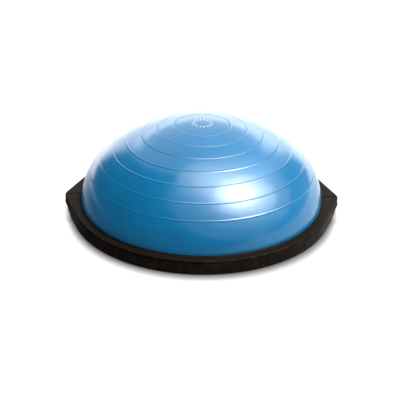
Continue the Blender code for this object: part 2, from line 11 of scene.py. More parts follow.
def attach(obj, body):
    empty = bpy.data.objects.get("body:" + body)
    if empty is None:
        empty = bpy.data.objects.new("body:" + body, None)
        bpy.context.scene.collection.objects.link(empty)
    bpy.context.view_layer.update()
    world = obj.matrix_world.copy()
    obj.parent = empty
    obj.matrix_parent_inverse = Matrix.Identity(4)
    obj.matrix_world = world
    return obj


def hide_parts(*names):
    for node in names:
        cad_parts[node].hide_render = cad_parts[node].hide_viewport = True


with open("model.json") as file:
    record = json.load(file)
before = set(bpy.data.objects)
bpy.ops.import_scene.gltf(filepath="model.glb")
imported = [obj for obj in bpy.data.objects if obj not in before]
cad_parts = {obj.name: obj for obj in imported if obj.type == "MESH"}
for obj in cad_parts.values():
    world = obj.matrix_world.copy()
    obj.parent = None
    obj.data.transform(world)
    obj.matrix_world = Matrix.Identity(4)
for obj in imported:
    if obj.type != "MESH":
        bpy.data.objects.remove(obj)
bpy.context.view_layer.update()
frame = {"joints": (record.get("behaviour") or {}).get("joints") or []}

# Camera at the photograph's angle.
# It looks down on the front of the trainer with a long lens, a little turned about its own line of sight.
CAMERA_DISTANCE = 2.237
CAMERA_ELEVATION = math.radians(27.95)
CAMERA_ROLL = math.radians(0.72)
FRAME_PIXELS = 400
FOCAL_PIXELS = 892.1
CENTRE_PIXEL = (201.35, 206.65)  # where the middle of the platform's foot stands in the frame
SENSOR_WIDTH = 36.0  # millimetres
CLIP_DISTANCES = (0.01, 200.0)

lens = bpy.data.cameras.new("photo_camera")
lens.sensor_width = SENSOR_WIDTH
lens.lens = SENSOR_WIDTH * FOCAL_PIXELS / FRAME_PIXELS
lens.shift_x = 0.5 - CENTRE_PIXEL[0] / FRAME_PIXELS
lens.shift_y = CENTRE_PIXEL[1] / FRAME_PIXELS - 0.5
lens.clip_start, lens.clip_end = CLIP_DISTANCES
camera = bpy.data.objects.new("photo_camera", lens)
bpy.context.scene.collection.objects.link(camera)
camera.matrix_world = (
    Matrix.Rotation(math.pi / 2 - CAMERA_ELEVATION, 4, "X")
    @ Matrix.Translation((0, 0, CAMERA_DISTANCE))
    @ Matrix.Rotation(CAMERA_ROLL, 4, "Z")
)
bpy.context.scene.camera = camera

# Floor, backdrop and lamps.
# A matt white floor lies in a white room with a pale low backdrop, which glossy skins mirror between dark
# walls. A soft key lamp high on the right, with a bright middle, and a broad lamp over the rear light it.
# The floor's paint itself holds the contact shadow round the platform and the dark under its two ears.
FLOOR_HALF_SIZE = 40.0
FLOOR_COLOUR = (0.46, 0.46, 0.46)
FLOOR_SEEN_COLOUR = (0.15, 0.15, 0.15)
FLOOR_MIRRORED_COLOUR = (0.0, 0.0, 0.0)
FLOOR_GLOW = 0.95  # with which the camera sees the open floor as white as the backdrop
CONTACT_SHADOW_REACH = (0.032, 0.012)  # in front and behind
CONTACT_SHADOW_SPAN = (-0.32, 0.05)  # from front to back, over which the reach changes
CONTACT_SHADOW_POWER = 4.0
EAR_SLOPE = math.radians(21.7)  # of an ear's flank against the Y axis, here and in the platform
EAR_SHADE_FROM = 0.295  # distance to the side, past which the floor under an ear lies in the dark
EAR_SHADE_TIP = (0.328, 0.340)
EAR_SHADE_EDGE = (0.3130, 0.3220)  # measured square to the ear's flanks
EAR_SHADE_DEPTH = 0.95
FLOOR_MIRRORED = (0.05, 1.3)  # on the dark side and on the bright side
FLOOR_MIRRORED_SPAN = (-0.65, 0.15)  # across the floor from front left to rear right
FLOOR_MIRRORED_BEHIND = 0.8
FLOOR_BEHIND_SPAN = (0.45, 0.90)
WORLD_LIGHT = 0.16
WALLS_MIRRORED = 0.04
RIGHT_WALL_MIRRORED = 0.35
RIGHT_WALL_SPAN = (0.2, 0.9)  # to the right, in parts of a look's length
RIGHT_WALL_FRONT = (-0.5, 0.0)
BACKDROP_MIRRORED = 2.1
BACKDROP_EDGE = (0.20, 0.30)
BACKDROP_FALL = 0.5  # with which the backdrop's upper edge falls to the sides
BACKDROP_SIDES = (0.55, 0.80)
KEY_LAMP = ((0.56, -0.22, 0.80), 50, 0.69)  # direction, spread in degrees and level
REAR_LAMP = ((0.090, 0.637, 0.766), 76, 0.44)
GLINT_DIRECTION = (0.4705, -0.2095, 0.857)
GLINT_SPREADS = (20, 28, 38, 50, 66, 90)
GLINT_LEVEL = 0.42
LOW_GLINT = ((0.45, -0.40, 0.80), 104, 0.50)
TOP_GLINTS = [((0.085, -0.020, 0.996), 24, 0.12), ((0.085, -0.020, 0.996), 40, 0.20)]


def add_node(tree, kind, feeds=None, **settings):
    """Adds a node. Feeds gives its sockets values or other nodes' outputs, by name or identifier."""
    made = tree.nodes.new(kind)
    for setting, value in settings.items():
        setattr(made, setting, value)
    for name, value in (feeds or {}).items():
        socket = next(s for s in made.inputs if s.enabled and name in (s.identifier, s.name))
        if isinstance(value, bpy.types.NodeSocket):
            tree.links.new(value, socket)
        else:
            socket.default_value = value
    return made


def output(made, name=None):
    """A node's output by name, or its first one in use."""
    return next(s for s in made.outputs if s.enabled and name in (None, s.name, s.identifier))


def math_of(tree, operation, first, *others):
    """The result of a sum on one value, or on several that are worked in one after the other."""
    feeds = {"Value": first}
    for other in others[:-1]:
        step = add_node(tree, "ShaderNodeMath", feeds | {"Value_001": other}, operation=operation)
        feeds = {"Value": output(step)}
    if others:
        feeds["Value_001"] = others[-1]
    return output(add_node(tree, "ShaderNodeMath", feeds, operation=operation))


def mix_value(tree, factor, first, second):
    feeds = {"Factor": factor, "A": first, "B": second}
    return output(add_node(tree, "ShaderNodeMix", feeds, data_type="FLOAT"))


def mix_colour(tree, factor, first, second):
    """Mixes two colours, each given as red, green and blue or as a node's output."""
    colours = [(*colour, 1) if isinstance(colour, tuple) else colour for colour in (first, second)]
    feeds = {"Factor": factor, "A": colours[0], "B": colours[1]}
    return output(add_node(tree, "ShaderNodeMix", feeds, data_type="RGBA"))


def spread(tree, value, low, high, to_low=0.0, to_high=1.0):
    """Maps a value's range smoothly to another."""
    feeds = {"Value": value, "From Min": low, "From Max": high, "To Min": to_low, "To Max": to_high}
    return output(add_node(tree, "ShaderNodeMapRange", feeds, interpolation_type="SMOOTHSTEP"))


def looks(tree):
    """Whether the camera looks here, straight or through a clear face, and whether a glossy skin does."""
    path = add_node(tree, "ShaderNodeLightPath").outputs
    seen = math_of(tree, "MAXIMUM", path["Is Camera Ray"], path["Is Transmission Ray"])
    return seen, path["Is Glossy Ray"]


def object_place(tree):
    return add_node(tree, "ShaderNodeTexCoord").outputs["Object"]


def parts_of(tree, vector):
    """The three parts of a vector, by the letters X, Y and Z."""
    return add_node(tree, "ShaderNodeSeparateXYZ", {"Vector": vector}).outputs


def empty_material(name):
    material = bpy.data.materials.new(name)
    material.use_nodes = True
    material.node_tree.nodes.clear()
    return material, material.node_tree


floor_paint, tree = empty_material("floor_paint")
seen, in_gloss = looks(tree)
spot = parts_of(tree, object_place(tree))
shadow_reach = spread(tree, spot["Y"], *CONTACT_SHADOW_SPAN, *CONTACT_SHADOW_REACH)
near_foot = add_node(tree, "ShaderNodeAmbientOcclusion", {"Distance": shadow_reach}, samples=8)
open_share = math_of(tree, "POWER", output(near_foot, "AO"), CONTACT_SHADOW_POWER)

to_side = math_of(tree, "ABSOLUTE", spot["X"])
to_end = math_of(tree, "ABSOLUTE", spot["Y"])
side_part = math_of(tree, "MULTIPLY", to_side, math.cos(EAR_SLOPE))
end_part = math_of(tree, "MULTIPLY", to_end, math.sin(EAR_SLOPE))
across_flank = math_of(tree, "ADD", side_part, end_part)
inside_flank = spread(tree, across_flank, *EAR_SHADE_EDGE, 1.0, 0.0)
before_tip = spread(tree, to_side, *EAR_SHADE_TIP, EAR_SHADE_DEPTH, 0.0)
past_start = math_of(tree, "GREATER_THAN", to_side, EAR_SHADE_FROM)
under_ear = math_of(tree, "MULTIPLY", inside_flank, before_tip, past_start)
open_share = math_of(tree, "MULTIPLY", open_share, math_of(tree, "SUBTRACT", 1.0, under_ear))

floor_colour = mix_colour(tree, seen, FLOOR_COLOUR, FLOOR_SEEN_COLOUR)
floor_colour = mix_colour(tree, in_gloss, floor_colour, FLOOR_MIRRORED_COLOUR)
matt = add_node(tree, "ShaderNodeBsdfDiffuse", {"Color": floor_colour})
towards_light = math_of(tree, "ADD", spot["X"], spot["Y"])
near_level = spread(tree, towards_light, *FLOOR_MIRRORED_SPAN, *FLOOR_MIRRORED)
far_level = spread(tree, spot["Y"], *FLOOR_BEHIND_SPAN, 0.0, FLOOR_MIRRORED_BEHIND)
mirrored = math_of(tree, "ADD", near_level, far_level)
glow_seen = math_of(tree, "MULTIPLY", open_share, FLOOR_GLOW, seen)
glow_mirrored = math_of(tree, "MULTIPLY", mirrored, in_gloss)
glow = add_node(tree, "ShaderNodeEmission", {"Strength": math_of(tree, "ADD", glow_seen, glow_mirrored)})
paint = add_node(tree, "ShaderNodeAddShader", {"Shader": output(matt), "Shader_001": output(glow)})
from_below = add_node(tree, "ShaderNodeNewGeometry").outputs["Backfacing"]
clear = add_node(tree, "ShaderNodeBsdfTransparent")
clear_share = math_of(tree, "MULTIPLY", from_below, seen)
sides = {"Fac": clear_share, "Shader": output(paint), "Shader_001": output(clear)}
floor_surface = output(add_node(tree, "ShaderNodeMixShader", sides))
add_node(tree, "ShaderNodeOutputMaterial", {"Surface": floor_surface})

floor_mesh = bpy.data.meshes.new("floor")
corners = [(x * FLOOR_HALF_SIZE, y * FLOOR_HALF_SIZE, 0) for x, y in ((-1, -1), (1, -1), (1, 1), (-1, 1))]
floor_mesh.from_pydata(corners, [], [(0, 1, 2, 3)])
floor_mesh.materials.append(floor_paint)
floor = bpy.data.objects.new("floor", floor_mesh)
bpy.context.scene.collection.objects.link(floor)

world = bpy.data.worlds.new("white_room")
bpy.context.scene.world = world
world.use_nodes = True
tree = world.node_tree
tree.nodes.clear()
seen, in_gloss = looks(tree)
look = parts_of(tree, add_node(tree, "ShaderNodeTexCoord").outputs["Generated"])
sideways = math_of(tree, "DIVIDE", math_of(tree, "ABSOLUTE", look["X"]), look["Y"])
edge_fall = math_of(tree, "MULTIPLY", sideways, BACKDROP_FALL)
above_edge = math_of(tree, "SUBTRACT", look["Z"], edge_fall)
below_edge = spread(tree, above_edge, *BACKDROP_EDGE, BACKDROP_MIRRORED, 0.0)
between_sides = spread(tree, sideways, *BACKDROP_SIDES, 1.0, 0.0)
backdrop = math_of(tree, "MULTIPLY", below_edge, between_sides, math_of(tree, "GREATER_THAN", look["Y"], 0.0))
to_right = spread(tree, look["X"], *RIGHT_WALL_SPAN, 0.0, RIGHT_WALL_MIRRORED)
right_wall = math_of(tree, "MULTIPLY", to_right, spread(tree, look["Y"], *RIGHT_WALL_FRONT))
mirrored = math_of(tree, "ADD", backdrop, right_wall, WALLS_MIRRORED)
strength = mix_value(tree, seen, mix_value(tree, in_gloss, WORLD_LIGHT, mirrored), 1.0)
background = add_node(tree, "ShaderNodeBackground", {"Color": (1, 1, 1, 1), "Strength": strength})
add_node(tree, "ShaderNodeOutputWorld", {"Surface": output(background)})
bpy.context.scene.view_settings.view_transform = "Standard"


def far_lamp(name, direction, spread_degrees, level):
    """A lamp that lights the whole floor alike. At level 1 a white face turned to it renders white."""
    lamp = bpy.data.lights.new(name, "SUN")
    lamp.angle = math.radians(spread_degrees)
    lamp.energy = level * math.pi
    source = bpy.data.objects.new(name, lamp)
    bpy.context.scene.collection.objects.link(source)
    source.matrix_world = Vector(direction).to_track_quat("Z", "Y").to_matrix().to_4x4()
    return source


far_lamp("key_lamp", *KEY_LAMP)
far_lamp("rear_lamp", *REAR_LAMP)
bright_middle = [(GLINT_DIRECTION, degrees, GLINT_LEVEL) for degrees in GLINT_SPREADS]
for glint in [*bright_middle, LOW_GLINT, *TOP_GLINTS]:
    far_lamp("glint_lamp", *glint).visible_diffuse = False

# Dome.
# A hollow half ball of blue vinyl, cast in a mould with seven raised rings and blown up from its rear side.
# Its thick bead is clamped in the platform, and a soft satin skin with a little wear covers it.
# A pale ring of short strokes is printed round its top.
COLLAR_TOP = 0.0364
NECK_RADIUS = 0.2970
DOME_CENTRE_HEIGHT = 0.0264
DOME_SEMI_HEIGHT = 0.2001
DOME_RADIUS = 0.297372  # so that the dome meets its neck at the collar's top
BEAD_RADIUS = 0.3035
BEAD_TOP = 0.0294
BEAD_BOTTOM = 0.0224
FIRST_RING_ARC = 0.0692
RING_SPACING = 0.03990
RING_COUNT = 7
RING_WIDTH = 0.0046
RING_HEIGHT = 0.00065
PROFILE_STEP = math.radians(0.5)
PROFILE_SAMPLES = 1400
DOME_FACETS = 220
DOME_ROWS = 372
SKIN_ROWS_SHARE = 0.965  # of the rows, for the skin that shows
MERGE_DISTANCE = 0.000002
DOME_MERGE_DISTANCE = 0.00001
VALVE_PLACE = Vector((0.0, 0.2869, 0.07904))
VALVE_AXIS = Vector(frame["joints"][0]["axis"])
VALVE_HOLE_RADIUS = 0.0131
VALVE_HOLE_DEPTH = 0.0094
VALVE_HOLE_CUTTER_TOP = 0.01
VALVE_HOLE_FACETS = 64
VINYL_BLUE = (0.0035, 0.275, 0.615)
VINYL_DEEP = (0.0025, 0.240, 0.550)
VINYL_WORN = (0.060, 0.290, 0.560)
VINYL_DULLNESS = (0.32, 0.38)
MARK_COLOUR = (0.70, 0.82, 0.88)
MARK_STROKES = 16
MARK_STROKE_SIDE = (0.16, 0.22)  # in parts of a stroke's share of the round
MARK_RADII = (0.0170, 0.0262)
MARK_EDGE = 0.0006


def dome_point(angle):
    """Radius and height of the dome's skin at an angle down from its top."""
    return DOME_RADIUS * math.sin(angle), DOME_CENTRE_HEIGHT + DOME_SEMI_HEIGHT * math.cos(angle)


def dome_profile():
    """The dome's outline from its top to the middle of its floor."""
    lowest = math.acos((COLLAR_TOP - DOME_CENTRE_HEIGHT) / DOME_SEMI_HEIGHT)
    steps = round(lowest / PROFILE_STEP)
    points = [dome_point(lowest * step / steps) for step in range(steps + 1)]
    bead = [(NECK_RADIUS, BEAD_TOP), (BEAD_RADIUS, BEAD_TOP), (BEAD_RADIUS, BEAD_BOTTOM)]
    return points + bead + [(0, BEAD_BOTTOM)]


def length_of(points):
    return sum(math.dist(here, there) for here, there in zip(points, points[1:]))


def new_piece(name, mesh):
    piece = bpy.data.objects.new(name, mesh)
    bpy.context.scene.collection.objects.link(piece)
    return piece


def profile_object(name, points):
    """A line of vertices in the XZ plane, which a modifier turns into a body."""
    mesh = bpy.data.meshes.new(name)
    edges = [(index, index + 1) for index in range(len(points) - 1)]
    mesh.from_pydata([(radius, 0, height) for radius, height in points], edges, [])
    return new_piece(name, mesh)


def new_modifier_tree(name, values):
    """A geometry tree with a named input for each value that its modifier gives it."""
    kinds = {int: "NodeSocketInt", float: "NodeSocketFloat", bpy.types.Object: "NodeSocketObject"}
    tree = bpy.data.node_groups.new(name, "GeometryNodeTree")
    tree.interface.new_socket("Geometry", in_out="INPUT", socket_type="NodeSocketGeometry")
    for title, value in values.items():
        tree.interface.new_socket(title, in_out="INPUT", socket_type=kinds[type(value)])
    tree.interface.new_socket("Geometry", in_out="OUTPUT", socket_type="NodeSocketGeometry")
    return tree, tree.nodes.new("NodeGroupInput").outputs


def end_tree(tree, geometry, material):
    """Every tree ends in real geometry with its material on it."""
    real = add_node(tree, "GeometryNodeRealizeInstances", {"Geometry": geometry})
    finished = add_node(tree, "GeometryNodeSetMaterial", {"Geometry": output(real), "Material": material})
    tree.links.new(output(finished), tree.nodes.new("NodeGroupOutput").inputs[0])


def make_plain(source, tree, values, name):
    """Runs a tree on an object with the given values and returns the result as a piece with a plain mesh."""
    modifier = source.modifiers.new(tree.name, "NODES")
    modifier.node_group = tree
    for socket in tree.interface.items_tree:
        if socket.in_out == "INPUT" and socket.name in values:
            modifier[socket.identifier] = values[socket.name]
    graph = bpy.context.evaluated_depsgraph_get()
    mesh = bpy.data.meshes.new_from_object(source.evaluated_get(graph), depsgraph=graph)
    mesh.name = name
    source.modifiers.clear()
    bpy.data.objects.remove(source)
    return new_piece(name, mesh)


def noise_of(tree, place, noise):
    """Noise, given as scale, detail and roughness."""
    scale, detail, roughness = noise
    feeds = {"Vector": place, "Scale": scale, "Detail": detail, "Roughness": roughness}
    return output(add_node(tree, "ShaderNodeTexNoise", feeds))


def patches_of(tree, place, noise, limits, levels=(0.0, 1.0)):
    """Soft patches: noise between two limits, spread over two levels."""
    return spread(tree, noise_of(tree, place, noise), *limits, *levels)


def bump_of(tree, place, noise, distance, strength, normal=None):
    """A relief of noise, which lies on another relief where that one is given."""
    feeds = {"Height": noise_of(tree, place, noise), "Distance": distance, "Strength": strength}
    if normal is not None:
        feeds["Normal"] = normal
    return output(add_node(tree, "ShaderNodeBump", feeds))


def finish_skin(tree, colour, dullness, relief, others=None):
    """Ends a material in one skin, with values for other sockets where they are given."""
    own = {"Base Color": colour, "Roughness": dullness, "Normal": relief}
    skin = add_node(tree, "ShaderNodeBsdfPrincipled", own | (others or {}))
    add_node(tree, "ShaderNodeOutputMaterial", {"Surface": output(skin)})


dome_vinyl, tree = empty_material("dome_vinyl")
place = object_place(tree)
clouds = patches_of(tree, place, noise=(9.0, 4.0, 0.6), limits=(0.35, 0.68))
colour = mix_colour(tree, clouds, VINYL_BLUE, VINYL_DEEP)
ridge = add_node(tree, "ShaderNodeAttribute", attribute_name="ridge").outputs["Fac"]
scuffs = patches_of(tree, place, noise=(60.0, 4.0, 0.5), limits=(0.40, 0.75), levels=(0.04, 0.22))
colour = mix_colour(tree, math_of(tree, "MULTIPLY", ridge, scuffs), colour, VINYL_WORN)

spot = parts_of(tree, place)
flat_place = add_node(tree, "ShaderNodeCombineXYZ", {"X": spot["X"], "Y": spot["Y"]})
from_middle = add_node(tree, "ShaderNodeVectorMath", {"Vector": output(flat_place)}, operation="LENGTH")
from_middle = output(from_middle, "Value")
turn_share = math_of(tree, "DIVIDE", math_of(tree, "ARCTAN2", spot["Y"], spot["X"]), math.tau)
strokes_passed = math_of(tree, "MULTIPLY", math_of(tree, "ADD", turn_share, 1.0), MARK_STROKES)
stroke_phase = math_of(tree, "FRACT", strokes_passed)
from_stroke = math_of(tree, "ABSOLUTE", math_of(tree, "SUBTRACT", stroke_phase, 0.5))
on_stroke = spread(tree, from_stroke, *MARK_STROKE_SIDE, 1.0, 0.0)
past_inside = spread(tree, from_middle, MARK_RADII[0] - MARK_EDGE, MARK_RADII[0] + MARK_EDGE)
before_outside = spread(tree, from_middle, MARK_RADII[1] - MARK_EDGE, MARK_RADII[1] + MARK_EDGE, 1.0, 0.0)
print_wear = patches_of(tree, place, noise=(420.0, 3.0, 0.5), limits=(0.28, 0.5), levels=(0.35, 0.92))
mark = math_of(tree, "MULTIPLY", past_inside, before_outside, on_stroke, print_wear)
colour = mix_colour(tree, mark, colour, MARK_COLOUR)

relief = bump_of(tree, place, noise=(45.0, 3.0, 0.5), distance=0.0004, strength=0.35)
relief = bump_of(tree, place, noise=(900.0, 2.0, 0.6), distance=0.00006, strength=0.5, normal=relief)
dullness = patches_of(tree, place, noise=(26.0, 5.0, 0.65), limits=(0.3, 0.75), levels=VINYL_DULLNESS)
satin_coat = {
    "Coat Normal": relief,
    "Specular IOR Level": 0.08,
    "Coat Weight": 1.0,
    "Coat Roughness": 0.16,
    "Coat IOR": 1.5,
}
finish_skin(tree, colour, dullness, relief, satin_coat)

profile = dome_profile()
bead_start = profile.index((NECK_RADIUS, BEAD_TOP))
values = {
    "Facets round": DOME_FACETS,
    "Rows": DOME_ROWS,
    "Skin share": length_of(profile[: bead_start + 1]) / length_of(profile),
    "Skin rows share": SKIN_ROWS_SHARE,
    "First ring": FIRST_RING_ARC,
    "Ring spacing": RING_SPACING,
    "Ring count": RING_COUNT,
    "Ring width": RING_WIDTH,
    "Ring height": RING_HEIGHT,
}
tree, given = new_modifier_tree("ringed_dome", values)
line = add_node(tree, "GeometryNodeMeshToCurve", {"Mesh": given["Geometry"]})
line = add_node(tree, "GeometryNodeResampleCurve", {"Curve": output(line), "Count": PROFILE_SAMPLES})
along = add_node(tree, "GeometryNodeSplineParameter").outputs["Length"]
past_first = math_of(tree, "SUBTRACT", along, given["First ring"])
nearest = math_of(tree, "ROUND", math_of(tree, "DIVIDE", past_first, given["Ring spacing"]))
last_ring = math_of(tree, "SUBTRACT", given["Ring count"], 1.0)
nearest = math_of(tree, "MINIMUM", math_of(tree, "MAXIMUM", nearest, 0.0), last_ring)
ring_place = math_of(tree, "MULTIPLY", nearest, given["Ring spacing"])
off_ring = math_of(tree, "ABSOLUTE", math_of(tree, "SUBTRACT", past_first, ring_place))
half_width = math_of(tree, "DIVIDE", given["Ring width"], 2.0)
ridge_share = spread(tree, off_ring, 0.0, half_width, 1.0, 0.0)
kept = {"Geometry": output(line), "Name": "ridge", "Value": ridge_share}
kept = add_node(tree, "GeometryNodeStoreNamedAttribute", kept)
tangent = output(add_node(tree, "GeometryNodeInputTangent"))
outward = {"Vector": tangent, "Vector_001": (0, 1, 0)}
outward = add_node(tree, "ShaderNodeVectorMath", outward, operation="CROSS_PRODUCT")
lift = math_of(tree, "MULTIPLY", ridge_share, given["Ring height"])
offset = add_node(tree, "ShaderNodeVectorMath", {"Vector": output(outward), "Scale": lift}, operation="SCALE")
ridged = add_node(tree, "GeometryNodeSetPosition", {"Geometry": output(kept), "Offset": output(offset)})

one_more = math_of(tree, "ADD", given["Facets round"], 1.0)
grid = {"Size X": 1.0, "Size Y": 1.0, "Vertices X": one_more, "Vertices Y": given["Rows"]}
grid = add_node(tree, "GeometryNodeMeshGrid", grid)
grid_place = parts_of(tree, output(add_node(tree, "GeometryNodeInputPosition")))
round_share = math_of(tree, "ADD", grid_place["X"], 0.5)
down_share = math_of(tree, "ADD", grid_place["Y"], 0.5)
skin_slope = math_of(tree, "DIVIDE", given["Skin share"], given["Skin rows share"])
skin_factor = math_of(tree, "MULTIPLY", down_share, skin_slope)
rest_share = math_of(tree, "SUBTRACT", 1.0, given["Skin share"])
rest_slope = math_of(tree, "DIVIDE", rest_share, math_of(tree, "SUBTRACT", 1.0, given["Skin rows share"]))
rest_left = math_of(tree, "MULTIPLY", math_of(tree, "SUBTRACT", 1.0, down_share), rest_slope)
factor = math_of(tree, "MAXIMUM", skin_factor, math_of(tree, "SUBTRACT", 1.0, rest_left))
ridge_kept = output(add_node(tree, "GeometryNodeInputNamedAttribute", {"Name": "ridge"}), "Attribute")
sampled = {"Curves": output(ridged), "Factor": factor, "Value": ridge_kept}
sampled = add_node(tree, "GeometryNodeSampleCurve", sampled, use_all_curves=True)
turn = math_of(tree, "MULTIPLY", round_share, math.tau)
turned_place = {"Vector": output(sampled, "Position"), "Angle": turn}
turned_place = add_node(tree, "ShaderNodeVectorRotate", turned_place, rotation_type="Z_AXIS")
marked = {"Geometry": output(grid, "Mesh"), "Name": "ridge", "Value": output(sampled, "Value")}
marked = add_node(tree, "GeometryNodeStoreNamedAttribute", marked)
turned = {"Geometry": output(marked), "Position": output(turned_place)}
turned = add_node(tree, "GeometryNodeSetPosition", turned)
closed = {"Geometry": output(turned), "Distance": DOME_MERGE_DISTANCE}
closed = add_node(tree, "GeometryNodeMergeByDistance", closed)
smooth = add_node(tree, "GeometryNodeSetShadeSmooth", {"Geometry": output(closed)})
end_tree(tree, output(smooth), dome_vinyl)
dome = make_plain(profile_object("dome_profile", profile), tree, values, "dome_skin")


def bridge(shape, row, following, closed=True):
    """Adds faces between two rows of vertices, all the way round or from end to end."""
    for index in range(len(row) if closed else len(row) - 1):
        after = (index + 1) % len(row)
        shape.faces.new((row[index], following[index], following[after], row[after]))


def turned_shape(profile, facets, closed=False):
    """A round shape from points of radius and height. A closed profile leaves the middle open."""
    shape = bmesh.new()
    turns = [math.tau * step / facets for step in range(facets)]
    rows = []
    for radius, height in profile:
        rows.append([shape.verts.new((radius * math.cos(t), radius * math.sin(t), height)) for t in turns])
    for row, following in zip(rows, rows[1:] + (rows[:1] if closed else [])):
        bridge(shape, row, following)
    bmesh.ops.remove_doubles(shape, verts=shape.verts, dist=MERGE_DISTANCE)
    return shape


def in_valve(shape):
    """Moves a shape from the valve's own axis to its place in the dome."""
    turn = VALVE_AXIS.to_track_quat("Z", "Y").to_matrix().to_4x4()
    bmesh.ops.transform(shape, matrix=Matrix.Translation(VALVE_PLACE) @ turn, verts=shape.verts)
    return shape


def plain_mesh(name, shape):
    """Turns a shape's faces outwards and makes a mesh of it."""
    bmesh.ops.recalc_face_normals(shape, faces=shape.faces)
    mesh = bpy.data.meshes.new(name)
    shape.to_mesh(mesh)
    shape.free()
    return mesh


def cut_or_join(piece, shape, operation):
    """Joins a helper shape to a piece, or cuts it away, and leaves a plain mesh."""
    helper = new_piece("helper", plain_mesh("helper", shape))
    boolean = piece.modifiers.new("cut", "BOOLEAN")
    boolean.operation = operation
    boolean.solver = "EXACT"
    boolean.object = helper
    graph = bpy.context.evaluated_depsgraph_get()
    result = bpy.data.meshes.new_from_object(piece.evaluated_get(graph), depsgraph=graph)
    piece.modifiers.clear()
    piece.data = result
    bpy.data.objects.remove(helper)


hole_profile = [
    (0, -VALVE_HOLE_DEPTH),
    (VALVE_HOLE_RADIUS, -VALVE_HOLE_DEPTH),
    (VALVE_HOLE_RADIUS, VALVE_HOLE_CUTTER_TOP),
    (0, VALVE_HOLE_CUTTER_TOP),
]
cut_or_join(dome, in_valve(turned_shape(hole_profile, VALVE_HOLE_FACETS)), "DIFFERENCE")
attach(dome, "trainer")
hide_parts("dome_bladder")

# Valve seat.
# A soft vinyl bush, moulded in the dome's colour and welded into a hole low on its rear side.
# Its flange thins out towards the skin and has a weld groove round the plug, and its bore has a flared mouth.
SEAT_PROFILE = [
    (0.0061, -0.0092),
    (0.0061, 0.0012),
    (0.0064, 0.0019),
    (0.0070, 0.00225),
    (0.0076, 0.0023),
    (0.0101, 0.0023),
    (0.0104, 0.0022),
    (0.0107, 0.0018),
    (0.0112, 0.0017),
    (0.0117, 0.0018),
    (0.0120, 0.0022),
    (0.0123, 0.0023),
    (0.0143, 0.0023),
    (0.0150, 0.0022),
    (0.0156, 0.0018),
    (0.0160, 0.0011),
    (0.0163, 0.0003),
    (0.0170, -0.0004),
    (0.0176, -0.0010),
    (0.0130, -0.0012),
    (0.0130, -0.0092),
]
SEAT_FACETS = 96
SOFT_EDGE_DEGREES = 50


def smooth_mesh(name, shape, sharp_degrees):
    """A mesh shaded smooth, but for edges that turn by more than the given angle."""
    mesh = plain_mesh(name, shape)
    mesh.shade_smooth()
    mesh.set_sharp_from_angle(angle=math.radians(sharp_degrees))
    return mesh


seat_shape = in_valve(turned_shape(SEAT_PROFILE, SEAT_FACETS, closed=True))
seat_mesh = smooth_mesh("valve_seat_bush", seat_shape, SOFT_EDGE_DEGREES)
seat_mesh.materials.append(dome_vinyl)
seat = new_piece("valve_seat_bush", seat_mesh)
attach(seat, "trainer")
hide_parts("valve_seat")

# Valve plug.
# A pale hard plastic stopper with a notched, slightly hollow head to grip it by, and a stem that thins in
# two steps at its end. It is pushed into the seat's bore, where friction holds it.
PLUG_PROFILE = [
    (0, 0.0050),
    (0.0030, 0.0051),
    (0.0052, 0.0054),
    (0.0062, 0.0056),
    (0.0078, 0.0056),
    (0.0087, 0.0053),
    (0.0093, 0.0047),
    (0.0095, 0.0041),
    (0.0095, 0.0031),
    (0.0091, 0.0026),
    (0.0063, 0.0026),
    (0.0060, 0.0023),
    (0.0060, -0.0092),
    (0.0058, -0.0096),
    (0.0050, -0.0112),
    (0.0050, -0.0114),
    (0.0043, -0.0122),
    (0.0040, -0.0124),
    (0, -0.0124),
]
PLUG_NOTCHES = 24
PLUG_STEPS_PER_NOTCH = 6
PLUG_NOTCH_STEPS = (0, 1)  # of the steps, those that a notch takes up
PLUG_NOTCH_DEPTH = 0.0004
PLUG_NOTCH_FROM = 0.0086  # only the head's edge is as wide as this
PLUG_PALE = (0.55, 0.60, 0.62)
PLUG_SOILED = (0.36, 0.38, 0.37)
PLUG_DULLNESS = (0.34, 0.48)

plug_plastic, tree = empty_material("plug_plastic")
place = object_place(tree)
soiled = patches_of(tree, place, noise=(160.0, 5.0, 0.65), limits=(0.45, 0.75), levels=(0.0, 0.35))
colour = mix_colour(tree, soiled, PLUG_PALE, PLUG_SOILED)
relief = bump_of(tree, place, noise=(1400.0, 2.0, 0.6), distance=0.00005, strength=0.5)
dullness = patches_of(tree, place, noise=(90.0, 4.0, 0.6), limits=(0.3, 0.75), levels=PLUG_DULLNESS)
finish_skin(tree, colour, dullness, relief)

plug_facets = PLUG_STEPS_PER_NOTCH * PLUG_NOTCHES
shape = turned_shape(PLUG_PROFILE, plug_facets)
for vertex in shape.verts:
    radius = math.hypot(vertex.co.x, vertex.co.y)
    step = round(math.atan2(vertex.co.y, vertex.co.x) / math.tau * plug_facets)
    if radius > PLUG_NOTCH_FROM and step % PLUG_STEPS_PER_NOTCH in PLUG_NOTCH_STEPS:
        vertex.co.xy *= (radius - PLUG_NOTCH_DEPTH) / radius
plug_mesh = smooth_mesh("valve_plug_stopper", in_valve(shape), SOFT_EDGE_DEGREES)
plug_mesh.materials.append(plug_plastic)
plug = new_piece("valve_plug_stopper", plug_mesh)
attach(plug, "plug")
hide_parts("valve_plug")

